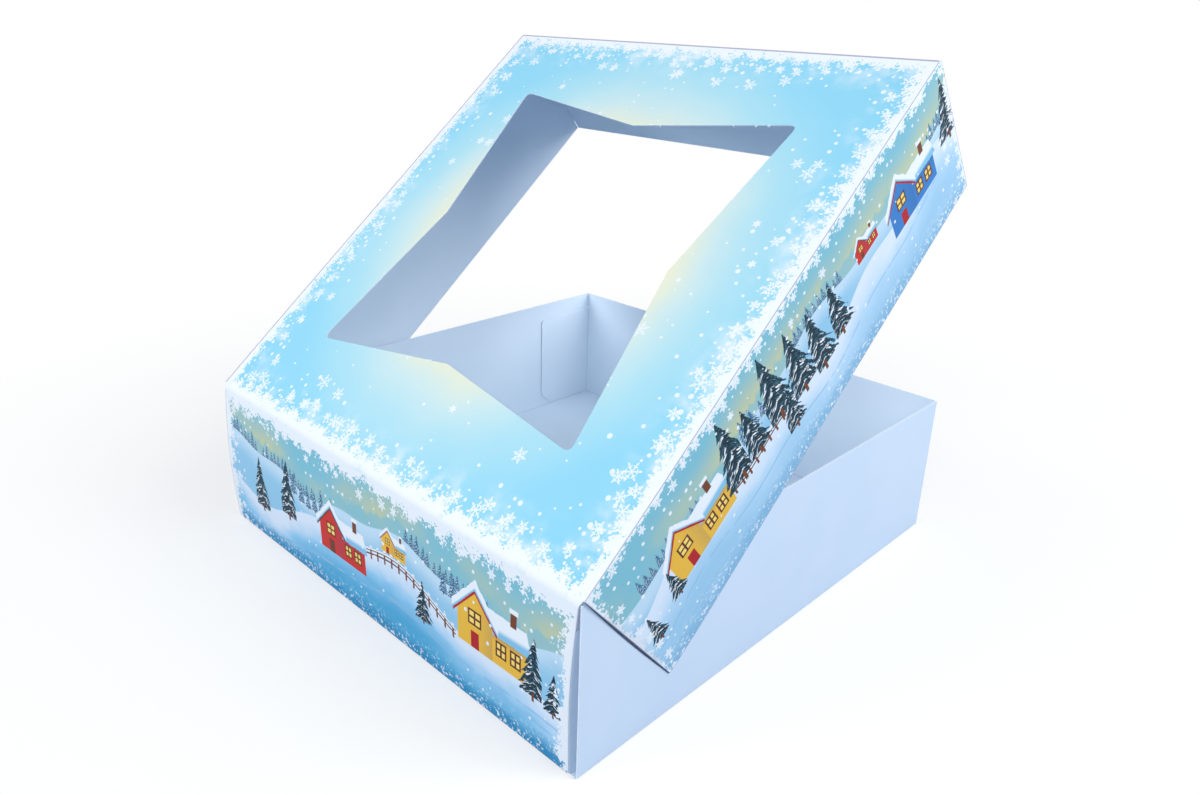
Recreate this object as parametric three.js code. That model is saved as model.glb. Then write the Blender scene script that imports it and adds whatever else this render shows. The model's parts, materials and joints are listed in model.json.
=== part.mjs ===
// Bakery box with a hinged window lid, folded and glued from one die-cut sheet of boxboard.
// Millimetres, +Z up. The origin is the middle of the underside of the base.
// The lid turns on a crease along X, at the top of the hinge wall on the -Y side.

import * as THREE from 'three';

// Base
const baseWidth = 250; // outside, along the hinge
const baseDepth = 254; // outside, hinge wall to front wall
const wallHeight = 71.5; // table to the top edge of the walls
const board = 0.5; // thickness of the boxboard

// Lid
const lidOpenAngle = 40; // degrees, at rest
const flapSetback = 1.5; // upper end of a side flap, back from the hinge crease
const flapTaper = 1.2; // how much further back its lower end is

// Window, a square with its sides drawn in
const windowTipReach = 84.5; // middle of the lid to a corner tip, in X and in Y
const windowWaistReach = 72; // middle of the lid to the kink half way along a side
const windowTipRadius = 3.5;
const windowWaistRadius = 2;

// Glue tabs of the base
const tabLength = 43; // from the outside of the wall that it folds from
const tabTopInset = 10.5; // below the top edge of the walls
const tabChamferLength = 9.5; // cut at the lower free corner
const tabChamferHeight = 8;
const tabCornerRadius = 2;

// Glue tabs of the lid
const lidTabLength = 34; // from the outside of the front flap
const lidTabTopInset = 4; // below the lid's panel
const lidTabLowerInset = 6; // above the lower edge of the flaps
const lidTabSlope = 7; // how much each long edge draws in towards the free end

// Glue seams
const glueThickness = 0.15;
const glueMargin = 9; // in from every edge of the tab

// Fits and clearances
const scoreGap = 0.25; // scored line between two panels of the sheet
const glueSkin = 0.05; // on each side of a glue seam
const cutEndSetback = 0.6; // cut end of a side panel, back from the fold beside it
const tabFloorGap = 1; // under a base tab
const lidRestGap = 0.3; // over the walls when the lid is shut
const lidSideFit = 0.25; // between a lid tab and the side wall when the lid is shut
const lidFrontFit = 1.5; // between the front flap and the front wall when the lid is shut
const flapTableGap = 0.8; // under the flaps when the lid is shut

// Sizes that follow
const seamGap = glueThickness + 2 * glueSkin; // side panel to the tab glued inside it
const hingeHeight = wallHeight + lidRestGap + board; // the crease, on the outside of the fold
const flapDepth = hingeHeight - flapTableGap; // from the lid's outside
const lidWidth = baseWidth + 2 * (lidSideFit + board + seamGap + board);
const lidLength = baseDepth + lidFrontFit + board;
const baseTabPlane = baseWidth / 2 - board - seamGap; // outer face of a base tab, and end of the wall it is on
const lidTabPlane = lidWidth / 2 - board - seamGap;
const wallFoot = board + scoreGap; // where a panel starts beyond the one that it folds from
const cornerSteps = 5;

// Colours: [colour, roughness]
const whiteBoard = [0xd3e2f5, 0.75];
const printedSky = [0x9fe0fb, 0.45];
const printedSnow = [0xbcdcec, 0.45];
const driedGlue = [0xe9e4d2, 0.35];

// Closed outline through [x, y, radius] corners, each rounded where it has a radius
function tracePath(path, corners) {
  corners.forEach(([x, y, radius = 0], i) => {
    const corner = new THREE.Vector2(x, y);
    const before = new THREE.Vector2(...corners.at(i - 1)).sub(corner).normalize();
    const after = new THREE.Vector2(...corners[(i + 1) % corners.length]).sub(corner).normalize();
    const halfAngle = Math.acos(before.dot(after)) / 2;
    const reach = radius / Math.tan(halfAngle);
    const start = before.multiplyScalar(reach).add(corner);
    const end = after.multiplyScalar(reach).add(corner);
    if (i === 0) path.moveTo(start.x, start.y);
    else path.lineTo(start.x, start.y);
    if (radius > 0) path.quadraticCurveTo(x, y, end.x, end.y);
  });
  path.closePath();
  return path;
}

// Flat piece of sheet: its outline in X and Y, its thickness upwards from Z = 0
function sheet(name, [color, roughness], corners, thickness, hole) {
  const shape = tracePath(new THREE.Shape(), corners);
  if (hole) shape.holes.push(tracePath(new THREE.Path(), hole));
  const geometry = new THREE.ExtrudeGeometry(shape, {
    depth: thickness,
    bevelEnabled: false,
    curveSegments: cornerSteps,
  });
  const material = new THREE.MeshStandardMaterial({ color, roughness, metalness: 0 });
  const mesh = new THREE.Mesh(geometry, material);
  mesh.name = name;
  return mesh;
}

function rectangle(x0, x1, y0, y1) {
  return [[x0, y0], [x1, y0], [x1, y1], [x0, y1]];
}

// Stands a sheet across the box, its outline in X and Z, with its outer or rear face at y
function standAcross(mesh, y) {
  mesh.rotation.x = Math.PI / 2;
  mesh.position.y = y;
  return mesh;
}

// Stands a sheet along the box, its outline in Y and Z, with its lower X face at x
function standAlong(mesh, x) {
  mesh.quaternion.setFromAxisAngle(new THREE.Vector3(1, 1, 1).normalize(), (2 * Math.PI) / 3);
  mesh.position.x = x;
  return mesh;
}

// Lower X face of a sheet whose outer face is at distance reach on the given side
function lowerFace(side, reach, thickness) {
  return side > 0 ? reach - thickness : -reach;
}

function baseFloor() {
  const outline = rectangle(-baseWidth / 2, baseWidth / 2, -baseDepth / 2, baseDepth / 2);
  return sheet('base_floor', whiteBoard, outline, board);
}

function endWall(name, finish, outerY) {
  const outline = rectangle(-baseTabPlane, baseTabPlane, wallFoot, wallHeight);
  return standAcross(sheet(name, finish, outline, board), outerY);
}

function sideWall(name, side) {
  const reach = baseDepth / 2 - cutEndSetback;
  const outline = rectangle(-reach, reach, wallFoot, wallHeight);
  return standAlong(sheet(name, whiteBoard, outline, board), lowerFace(side, baseWidth / 2, board));
}

// Glue tab of an end wall, at end -1 (hinge wall) or 1 (front wall)
function baseTab(name, side, end) {
  const along = (distance) => end * (baseDepth / 2 - distance);
  const low = board + tabFloorGap;
  const high = wallHeight - tabTopInset;
  const outline = [
    [along(wallFoot), low],
    [along(tabLength - tabChamferLength), low, tabCornerRadius],
    [along(tabLength), low + tabChamferHeight, tabCornerRadius],
    [along(tabLength), high, tabCornerRadius],
    [along(wallFoot), high],
  ];
  return standAlong(sheet(name, whiteBoard, outline, board), lowerFace(side, baseTabPlane, board));
}

function baseGlue(name, side, end) {
  const near = end * (baseDepth / 2 - glueMargin);
  const far = end * (baseDepth / 2 - tabLength + glueMargin);
  const low = board + tabFloorGap + glueMargin;
  const outline = rectangle(near, far, low, wallHeight - tabTopInset - glueMargin);
  const reach = baseWidth / 2 - board - glueSkin;
  return standAlong(sheet(name, driedGlue, outline, glueThickness), lowerFace(side, reach, glueThickness));
}

// In the lid's own frame the crease is X at the origin, the lid runs along +Y and its outside is Z = 0
function windowOutline() {
  const middle = lidLength / 2;
  const corners = [];
  for (let quarter = 0; quarter < 4; quarter += 1) {
    const turn = (quarter * Math.PI) / 2;
    const cos = Math.round(Math.cos(turn));
    const sin = Math.round(Math.sin(turn));
    const waistX = windowWaistReach * cos;
    const waistY = windowWaistReach * sin;
    const tipX = windowTipReach * (cos - sin);
    const tipY = windowTipReach * (sin + cos);
    corners.push([waistX, middle + waistY, windowWaistRadius]);
    corners.push([tipX, middle + tipY, windowTipRadius]);
  }
  return corners;
}

function lidTop() {
  const outline = rectangle(-lidWidth / 2, lidWidth / 2, 0, lidLength);
  const mesh = sheet('lid_top', printedSky, outline, board, windowOutline());
  mesh.position.z = -board;
  return mesh;
}

function lidFrontFlap() {
  const outline = rectangle(-lidTabPlane, lidTabPlane, -flapDepth, -wallFoot);
  return standAcross(sheet('lid_front_flap', printedSnow, outline, board), lidLength);
}

function lidSideFlap(name, side) {
  const far = lidLength - cutEndSetback;
  const outline = [
    [flapSetback, -wallFoot],
    [flapSetback + flapTaper, -flapDepth],
    [far, -flapDepth],
    [far, -wallFoot],
  ];
  return standAlong(sheet(name, printedSnow, outline, board), lowerFace(side, lidWidth / 2, board));
}

function lidTab(name, side) {
  const root = lidLength - wallFoot;
  const free = lidLength - lidTabLength;
  const high = -wallFoot - lidTabTopInset;
  const low = lidTabLowerInset - flapDepth;
  const outline = [
    [root, low],
    [root, high],
    [free, high - lidTabSlope, tabCornerRadius],
    [free, low + lidTabSlope, tabCornerRadius],
  ];
  return standAlong(sheet(name, whiteBoard, outline, board), lowerFace(side, lidTabPlane, board));
}

function lidGlue(name, side) {
  const near = lidLength - glueMargin;
  const far = lidLength - lidTabLength + glueMargin;
  const low = lidTabLowerInset + lidTabSlope + glueMargin - flapDepth;
  const high = -wallFoot - lidTabTopInset - lidTabSlope - glueMargin;
  const reach = lidWidth / 2 - board - glueSkin;
  const mesh = sheet(name, driedGlue, rectangle(far, near, low, high), glueThickness);
  return standAlong(mesh, lowerFace(side, reach, glueThickness));
}

function buildBase() {
  const base = new THREE.Group();
  base.add(
    baseFloor(),
    endWall('hinge_wall', printedSnow, board - baseDepth / 2),
    endWall('front_wall', whiteBoard, baseDepth / 2),
  );
  for (const [sideName, side] of [['left', -1], ['right', 1]]) {
    base.add(sideWall(`${sideName}_wall`, side));
    for (const [endName, end] of [['hinge', -1], ['front', 1]]) {
      base.add(baseTab(`${endName}_wall_${sideName}_tab`, side, end));
      base.add(baseGlue(`${endName}_${sideName}_glue`, side, end));
    }
  }
  return base;
}

function buildLid() {
  const lid = new THREE.Group();
  lid.add(lidTop(), lidFrontFlap());
  for (const [sideName, side] of [['left', -1], ['right', 1]]) {
    lid.add(lidSideFlap(`lid_${sideName}_flap`, side));
    lid.add(lidTab(`lid_${sideName}_tab`, side));
    lid.add(lidGlue(`lid_${sideName}_glue`, side));
  }
  lid.position.set(0, -baseDepth / 2, hingeHeight);
  lid.rotation.x = THREE.MathUtils.degToRad(lidOpenAngle);
  return lid;
}

const bakeryBox = new THREE.Group();
bakeryBox.add(buildBase(), buildLid());

export default bakeryBox;
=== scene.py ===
import json
import math
from functools import partialmethod

import bpy
from mathutils import Matrix, Vector


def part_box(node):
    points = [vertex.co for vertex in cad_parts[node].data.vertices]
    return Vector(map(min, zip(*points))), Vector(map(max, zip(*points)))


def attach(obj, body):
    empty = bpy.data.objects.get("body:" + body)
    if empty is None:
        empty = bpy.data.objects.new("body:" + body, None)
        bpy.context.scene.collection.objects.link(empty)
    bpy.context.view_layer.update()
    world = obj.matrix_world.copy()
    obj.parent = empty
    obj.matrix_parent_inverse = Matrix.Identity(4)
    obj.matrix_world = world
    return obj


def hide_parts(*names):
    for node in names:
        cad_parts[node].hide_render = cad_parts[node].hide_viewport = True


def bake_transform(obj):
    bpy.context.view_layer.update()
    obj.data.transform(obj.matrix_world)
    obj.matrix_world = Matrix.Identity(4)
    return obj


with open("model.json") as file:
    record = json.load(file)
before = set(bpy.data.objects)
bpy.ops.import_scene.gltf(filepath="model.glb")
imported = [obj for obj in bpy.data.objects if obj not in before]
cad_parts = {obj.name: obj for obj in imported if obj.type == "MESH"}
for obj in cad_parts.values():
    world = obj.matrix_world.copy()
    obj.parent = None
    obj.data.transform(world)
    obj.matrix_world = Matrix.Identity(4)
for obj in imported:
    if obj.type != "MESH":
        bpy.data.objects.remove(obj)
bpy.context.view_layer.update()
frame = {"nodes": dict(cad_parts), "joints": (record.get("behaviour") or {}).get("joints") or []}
mm = 0.001
tiny = 1e-6
white = (1, 1, 1, 1)

# Sizes of the folded box, read from the frame
floorLow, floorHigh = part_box("base_floor")
baseWidth = floorHigh.x - floorLow.x
baseDepth = floorHigh.y - floorLow.y
board = floorHigh.z - floorLow.z
sideWallLow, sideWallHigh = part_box("right_wall")
wallTop = sideWallHigh.z
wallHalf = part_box("hinge_wall")[1].x                # the end walls fold into their tabs here

lidHinge = frame["joints"][0]
hingePoint = Vector(lidHinge["pos_m"])
lidOpen = -math.radians(lidHinge["range_deg"][0])   # the low limit is the shut lid
lidFrame = Matrix.Translation(hingePoint) @ Matrix.Rotation(lidOpen, 4, "X")


def lidBox(node):   # in the lid's own frame: crease along X, lid along +Y, outside at Z = 0
    inLid = lidFrame.inverted()
    points = [inLid @ vertex.co for vertex in frame["nodes"][node].data.vertices]
    low = Vector([min(point[axis] for point in points) for axis in range(3)])
    high = Vector([max(point[axis] for point in points) for axis in range(3)])
    return low, high


lidHalf = lidBox("lid_top")[1].x
lidLength = lidBox("lid_top")[1].y
flapLow = lidBox("lid_right_flap")[0]
frontFlapHalf = lidBox("lid_front_flap")[1].x
lidTabLow, lidTabHigh = lidBox("lid_right_tab")
print("frame: base", baseWidth, baseDepth, wallTop, "lid", lidHalf * 2, lidLength)

fold = {                         # half of a square fold, on each panel
    "radius": 0.9 * mm,
    "turn": math.radians(45),
    "steps": 4,
    "flat": 0.985,               # a face belongs to the fold where its normal's Z is less
}
crease = {"reach": 1.8 * mm, "rows": 12, "columns": 40}   # the lid's living hinge
smoothAngle = math.radians(35)


def dye(red, green, blue):   # a printed colour, as a picture program gives it
    def linear(part):
        part = part / 255
        return part / 12.92 if part <= 0.04045 else ((part + 0.055) / 1.055) ** 2.4
    return (linear(red), linear(green), linear(blue), 1)


# Camera and stage

photoCamera = {
    "place": (0.29988, -0.30544, 0.24946),
    "turn": (69.369, -1.96, 43.817),   # degrees
    "lens": 27.81,
    "shift": (-0.0065, -0.0286),
    "nearest": 0.01,
}


def makeCamera():
    data = bpy.data.cameras.new("photoCamera")
    data.lens = photoCamera["lens"]
    data.shift_x, data.shift_y = photoCamera["shift"]
    data.clip_start = photoCamera["nearest"]
    camera = bpy.data.objects.new("photoCamera", data)
    camera.location = photoCamera["place"]
    camera.rotation_euler = [math.radians(angle) for angle in photoCamera["turn"]]
    bpy.context.scene.collection.objects.link(camera)
    bpy.context.scene.camera = camera
    print("camera: lens", data.lens)


studio = {
    "floorSize": 8.0,
    "floorRoughness": 0.95,
    "floorColour": dye(253, 254, 255),
    "bounceColour": dye(142, 159, 182),   # what the floor throws back on to the box
    "shadowShare": 0.42,                  # how much of the floor's own shading shows near the box
    "whiteFrom": 0.16,                    # metres from the box's middle, where the floor turns white
    "whiteTo": 0.50,
    "world": (0.84, 0.94, 1.06, 1),
    "worldStrength": 0.33,
    "aim": (0, 0, 0.08),                  # what every lamp points at
    "lamps": {                            # place, size, watts
        "front": ((-0.60, -1.35, 0.75), 0.8, 12.4),
        "camera": ((0.70, -1.10, 0.80), 0.7, 4.6),
        "side": ((1.20, 0.80, 0.80), 0.9, 8.2),
        "back": ((0.75, 1.05, 0.55), 0.6, 2.6),
        "top": ((1.00, 0.40, 1.30), 0.9, 8.4),
    },
}


def seenDirectly(tree):   # 1 for what is seen straight, in a reflection or through something clear
    ray = addNode(tree, "LightPath")
    seen = Ink(ray.outputs["Is Camera Ray"])
    for kind in ("Is Glossy Ray", "Is Transmission Ray"):
        seen = seen.most(Ink(ray.outputs[kind]))
    return seen


def mixShaders(tree, share, first, second):
    made = addNode(tree, "MixShader")
    for place, value in zip(made.inputs, (share, first.outputs[0], second.outputs[0])):
        plug(place, value)
    return made.outputs[0]


def makeWorld():
    world = bpy.data.worlds.new("studio")
    bpy.context.scene.world = world
    world.use_nodes = True
    tree = world.node_tree
    tree.nodes.clear()
    ambient = addNode(tree, "Background", Color=studio["world"], Strength=studio["worldStrength"])
    backdrop = addNode(tree, "Background", Color=white)
    addNode(tree, "OutputWorld", Surface=mixShaders(tree, seenDirectly(tree), ambient, backdrop))


def makeFloor():
    bpy.ops.object.select_all(action="DESELECT")
    bpy.ops.mesh.primitive_plane_add(size=studio["floorSize"])
    floor = bpy.context.object
    floor.name = "studioFloor"
    finish, tree, shader = startFinish("studioFloor", studio["floorRoughness"])
    seen = seenDirectly(tree)
    colour = layer(studio["bounceColour"], studio["floorColour"], seen)
    plug(shader.inputs["Base Color"], colour)
    plug(shader.inputs["Specular IOR Level"], 0)
    plain = addNode(tree, "Emission", Color=white)
    place = addNode(tree, "TexCoord")
    reach = addNode(tree, "VectorMath")
    reach.operation = "LENGTH"
    plug(reach.inputs[0], place.outputs["Object"])
    far = Ink(reach.outputs["Value"]).fade(studio["whiteFrom"], studio["whiteTo"])
    share = (far * studio["shadowShare"] + (1 - studio["shadowShare"])) * seen
    plug(tree.nodes["Material Output"].inputs["Surface"], mixShaders(tree, share, shader, plain))
    floor.data.materials.append(finish)


def makeLamps():
    for name, (place, size, watts) in studio["lamps"].items():
        data = bpy.data.lights.new(name, "AREA")
        data.shape = "DISK"
        data.size = size
        data.energy = watts
        lamp = bpy.data.objects.new(name, data)
        lamp.location = place
        aim = Vector(studio["aim"]) - lamp.location
        lamp.rotation_euler = aim.to_track_quat("-Z", "Y").to_euler()
        bpy.context.scene.collection.objects.link(lamp)


def makeStudio():
    bpy.context.scene.view_settings.view_transform = "Standard"
    makeWorld()
    makeFloor()
    makeLamps()
    print("studio: floor,", len(studio["lamps"]), "lamps")


# Shader sums: an Ink is one shader value, and adds, multiplies and fades like a plain number

def plug(socket, value):   # an Ink, another socket or a constant
    if isinstance(value, Ink):
        value = value.socket
    if isinstance(value, bpy.types.NodeSocket):
        socket.id_data.links.new(value, socket)
    else:
        socket.default_value = value


def addNode(tree, kind, **inputs):
    made = tree.nodes.new("ShaderNode" + kind)
    for label, value in inputs.items():
        plug(made.inputs[label], value)
    return made


class Ink:
    def __init__(self, socket):
        self.socket = socket
        self.tree = socket.id_data

    def reckon(self, operation, *others):
        made = addNode(self.tree, "Math")
        made.operation = operation
        for place, value in zip(made.inputs, (self, *others)):
            plug(place, value)
        return Ink(made.outputs[0])

    __add__ = __radd__ = partialmethod(reckon, "ADD")
    __sub__ = partialmethod(reckon, "SUBTRACT")
    __mul__ = __rmul__ = partialmethod(reckon, "MULTIPLY")
    __truediv__ = partialmethod(reckon, "DIVIDE")
    __abs__ = partialmethod(reckon, "ABSOLUTE")
    least = partialmethod(reckon, "MINIMUM")
    most = partialmethod(reckon, "MAXIMUM")
    wave = partialmethod(reckon, "SINE")
    root = partialmethod(reckon, "SQRT")
    cell = partialmethod(reckon, "FLOOR")
    share = partialmethod(reckon, "FRACT")

    def __rsub__(self, other):
        return (self * -1) + other

    def fade(self, start, end):   # 0 at start, 1 at end, eased between
        made = addNode(self.tree, "MapRange", **{"Value": self, "From Min": start, "From Max": end})
        made.interpolation_type = "SMOOTHSTEP"
        made.clamp = False
        return Ink(made.outputs["Result"])

    def under(self, limit, soft):   # 1 below the limit
        return self.fade(limit + soft, limit)

    def within(self, low, high, soft):   # 1 between low and high
        return self.fade(low - soft, low) * self.fade(high + soft, high)


def point(x, y, z):
    return addNode(x.tree, "CombineXYZ", X=x, Y=y, Z=z).outputs[0]


cloudStride = 37.7   # from one seed's cloud to the next, in cloud sizes


def cloud(x, y, size, detail, seed):
    place = point(x, y, seed * cloudStride * size)
    made = addNode(x.tree, "TexNoise", Vector=place, Scale=1.0 / size, Detail=detail)
    return Ink(made.outputs[0])


def chance(x, y, seed):   # three random shares for each whole x and y
    made = addNode(x.tree, "TexWhiteNoise", Vector=point(x, y, seed))
    parts = addNode(x.tree, "SeparateColor", Color=made.outputs["Color"])
    return [Ink(socket) for socket in parts.outputs]


# Finishes of the board

boardFinish = {
    "outside": (dye(214, 231, 249), dye(209, 228, 247)),       # plain, mottled
    # whiter than the outside, as painted light for the shaded inside of the box
    "inside": (dye(227, 241, 254), dye(223, 238, 252)),
    "core": (dye(226, 238, 251), dye(244, 249, 254)),
    "paintedFoldShade": (dye(206, 221, 242), dye(197, 213, 236)),   # painted shade on the inside of a fold
    "paintedEndShadow": (dye(58, 70, 94), dye(84, 98, 124)),          # painted shadow on the crushed near ends of the lid's side flaps
    "roughness": 0.8,
    "cutRoughness": 0.9,
    "fibreSize": 0.35,           # millimetres
    "fibreStretch": 0.6,
    "fibreDepth": 0.05 * mm,
    "fibreBump": 0.10,
    "mottleSize": 34.0,
    "mottleShare": 0.6,          # the rest of the mottle follows the fibres
}
printFinish = {"roughness": 0.5, "shine": 0.12, "fibreBump": 0.05}
glueFinish = {"colours": (dye(233, 228, 210), dye(216, 208, 186)), "ripple": 220, "roughness": 0.4}
mapScale = 10                    # units of a panel's map for each metre of board


def startFinish(name, roughness):
    finish = bpy.data.materials.new(name)
    finish.use_nodes = True
    shader = finish.node_tree.nodes["Principled BSDF"]
    shader.inputs["Roughness"].default_value = roughness
    return finish, finish.node_tree, shader


def sheetPlace(tree):   # millimetres across and up the flat sheet, from the panel's own map
    chart = addNode(tree, "UVMap")
    chart.uv_map = "sheet"
    parts = addNode(tree, "SeparateXYZ", Vector=chart.outputs[0])
    return [Ink(socket) * (1 / (mapScale * mm)) for socket in parts.outputs[:2]]


def fibreBump(shader, x, y, strength):
    fibres = cloud(x, y * boardFinish["fibreStretch"], boardFinish["fibreSize"], 3.0, 1)
    made = addNode(x.tree, "Bump", Strength=strength, Distance=boardFinish["fibreDepth"], Height=fibres)
    plug(shader.inputs["Normal"], made.outputs[0])
    return fibres


def layer(under, over, mask):   # one colour over another where the mask is 1
    made = addNode(mask.tree, "Mix")
    made.data_type = "RGBA"
    for place, value in ((0, mask), (6, under), (7, over)):
        plug(made.inputs[place], value)
    return made.outputs[2]


def makeWhiteBoard(name, colours):
    finish, tree, shader = startFinish(name, boardFinish["roughness"])
    x, y = sheetPlace(tree)
    mottle = cloud(x, y, boardFinish["mottleSize"], 3.0, 2)
    fibres = fibreBump(shader, x, y, boardFinish["fibreBump"])
    share = boardFinish["mottleShare"]
    mask = mottle.fade(0.3, 0.7) * share + fibres.fade(0.55, 0.75) * (1 - share)
    plug(shader.inputs["Base Color"], layer(*colours, mask))
    return finish


def makeCutEdge(name, colours):
    finish, tree, shader = startFinish(name, boardFinish["cutRoughness"])
    fibres = fibreBump(shader, *sheetPlace(tree), boardFinish["fibreBump"])
    plug(shader.inputs["Base Color"], layer(*colours, fibres.fade(0.4, 0.7)))
    return finish


def makeGlue():
    finish, tree, shader = startFinish("driedGlue", glueFinish["roughness"])
    place = addNode(tree, "TexCoord")
    ripple = addNode(tree, "TexNoise", Vector=place.outputs["Object"], Scale=glueFinish["ripple"])
    streak = Ink(ripple.outputs[0]).fade(0.35, 0.65)
    plug(shader.inputs["Base Color"], layer(*glueFinish["colours"], streak))
    return finish


makeCamera()
makeStudio()
whiteBoard = makeWhiteBoard("whiteBoard", boardFinish["outside"])
innerBoard = makeWhiteBoard("innerBoard", boardFinish["inside"])
paintedFoldShade = makeWhiteBoard("paintedFoldShade", boardFinish["paintedFoldShade"])
cutEdge = makeCutEdge("cutEdge", boardFinish["core"])
paintedEndShadow = makeCutEdge("paintedEndShadow", boardFinish["paintedEndShadow"])
gluedSeam = makeGlue()


# Stencils: shader groups that draw one motif, made once and used on several prints

inkNames = ("under", "dark", "light", "walls", "roof", "colour")   # sockets that carry a colour


def readSocket(socket):
    return socket if socket.name in inkNames else Ink(socket)


def makeStencil(name, given, results, draw):
    tree = bpy.data.node_groups.new(name, "ShaderNodeTree")
    for side, labels in (("INPUT", given), ("OUTPUT", results)):
        for label in labels:
            kind = "NodeSocketColor" if label in inkNames else "NodeSocketFloat"
            tree.interface.new_socket(label, in_out=side, socket_type=kind)
    start = tree.nodes.new("NodeGroupInput")
    drawn = draw(*[readSocket(socket) for socket in start.outputs[:len(given)]])
    end = tree.nodes.new("NodeGroupOutput")
    for socket, value in zip(end.inputs, drawn):
        plug(socket, value)
    return tree


def press(stencil, values):   # puts a stencil to use, and gives its results by name
    made = addNode(values["x"].tree, "Group")
    made.node_tree = stencil
    for label, value in values.items():
        plug(made.inputs[label], value)
    return {socket.name: readSocket(socket) for socket in made.outputs}


cellShift = (0.371, 0.613)       # how far each seed moves the grid, in cells
dotArt = {"jitter": 0.55, "soft": 0.22}
flakeArt = {
    "jitter": 0.3,
    "arm": 0.22,                 # half widths, in millimetres
    "twig": 0.176,
    "soft": 0.12,
    "twigSlant": 0.577,
    "twigSpacing": 0.3,          # in reaches of the flake
    "twigScale": 0.26,
    "twigLength": 0.42,
    "bareMiddle": (0.18, 0.25),
}


def drawCells(x, y, size, seed, jitter):   # a loose grid: place in the cell, the cell's middle, luck
    shiftX, shiftY = seed * cellShift[0], seed * cellShift[1]
    cellX, cellY = (x / size + shiftX).cell(), (y / size + shiftY).cell()
    luck = chance(cellX, cellY, seed)
    middleX = (cellX + 0.5 - shiftX + (luck[0] - 0.5) * jitter) * size
    middleY = (cellY + 0.5 - shiftY + (luck[1] - 0.5) * jitter) * size
    return x - middleX, y - middleY, middleX, middleY, luck


def drawDot(x, y, size, seed, small, large):
    x, y, middleX, middleY, luck = drawCells(x, y, size, seed, dotArt["jitter"])
    reach = luck[2] * (large - small) + small
    mask = (x * x + y * y).root().under(reach, dotArt["soft"])
    return mask, middleX, middleY, (luck[0] * 7.31 + luck[1] * 3.77).share()


def drawFlake(x, y, size, seed, small, large):   # six arms with slanting twigs
    soft, spacing = flakeArt["soft"], flakeArt["twigSpacing"]
    x, y, middleX, middleY, luck = drawCells(x, y, size, seed, flakeArt["jitter"])
    spread = (x * x + y * y).root()
    turned = y.reckon("ARCTAN2", x) * (3 / math.pi) + luck[0] * 5
    aside = abs(turned.share() - 0.5) * (math.pi / 3)
    along, across = spread * aside.reckon("COSINE"), spread * aside.wave()
    reach = luck[2] * (large - small) + small
    arms = across.under(flakeArt["arm"], soft) * along.under(reach, soft)
    twigRoot = along - across * flakeArt["twigSlant"]
    twigs = abs((twigRoot / (reach * spacing)).share() - 0.5) * reach * flakeArt["twigScale"]
    twigEnd = across - (reach - twigRoot) * flakeArt["twigLength"]
    twigs = twigs.under(flakeArt["twig"], soft) * twigEnd.under(0, soft)
    bareFrom, bareTo = flakeArt["bareMiddle"]
    twigs = twigs * twigRoot.fade(reach * bareFrom, reach * bareTo)
    return arms.most(twigs), middleX, middleY, (luck[0] * 5.13 + luck[1] * 9.71).share()


scatterSockets = ("x", "y", "size", "seed", "small", "large")
scatterResults = ("mask", "middleX", "middleY", "luck")
dotStencil = makeStencil("snowDots", scatterSockets, scatterResults, drawDot)
flakeStencil = makeStencil("snowflakes", scatterSockets, scatterResults, drawFlake)


def scatter(sheet, stencil, fromEdge, seed, size, radii, reach, thick, thin):
    drawn = press(stencil, dict(zip(scatterSockets, (sheet.x, sheet.y, size, seed, *radii))))
    share = fromEdge(drawn["middleX"], drawn["middleY"]).fade(reach, 3) * thick + thin
    return drawn["mask"] * drawn["luck"].under(share, 0.001)


# Printed faces: a Coat is colour laid on colour, and a Print is one printed sheet

class Coat:
    def __init__(self, inks, colour):
        self.inks = inks
        self.colour = colour

    def lay(self, colour, mask):   # a colour, or the name of an ink
        if isinstance(colour, str):
            colour = self.inks[colour]
        self.colour = layer(self.colour, colour, mask)


class Print(Coat):
    def __init__(self, name, inks, ground):
        super().__init__(inks, inks[ground])
        self.finish, tree, self.shader = startFinish(name, printFinish["roughness"])
        self.x, self.y = sheetPlace(tree)

    def press(self, stencil, **values):
        values = {"under": self.colour, "x": self.x, "y": self.y, **values}
        self.colour = press(stencil, values)["colour"]

    def cloud(self, size, detail, seed, stretch=1.0):
        return cloud(self.x / stretch, self.y, size, detail, seed)

    def done(self):
        plug(self.shader.inputs["Base Color"], self.colour)
        plug(self.shader.inputs["Specular IOR Level"], printFinish["shine"])
        fibreBump(self.shader, self.x, self.y, printFinish["fibreBump"])
        return self.finish


def frost(sheet, edge, solid, ragged, spray, seed):   # solid white, then ragged, then a spray of specks
    grown = sheet.cloud(6, 4, seed).fade(0.3, 0.75) * ragged
    grown = grown + (sheet.cloud(1.1, 2, seed + 0.5) - 0.5) * spray
    return (edge - grown).under(solid, 1.3)


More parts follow.
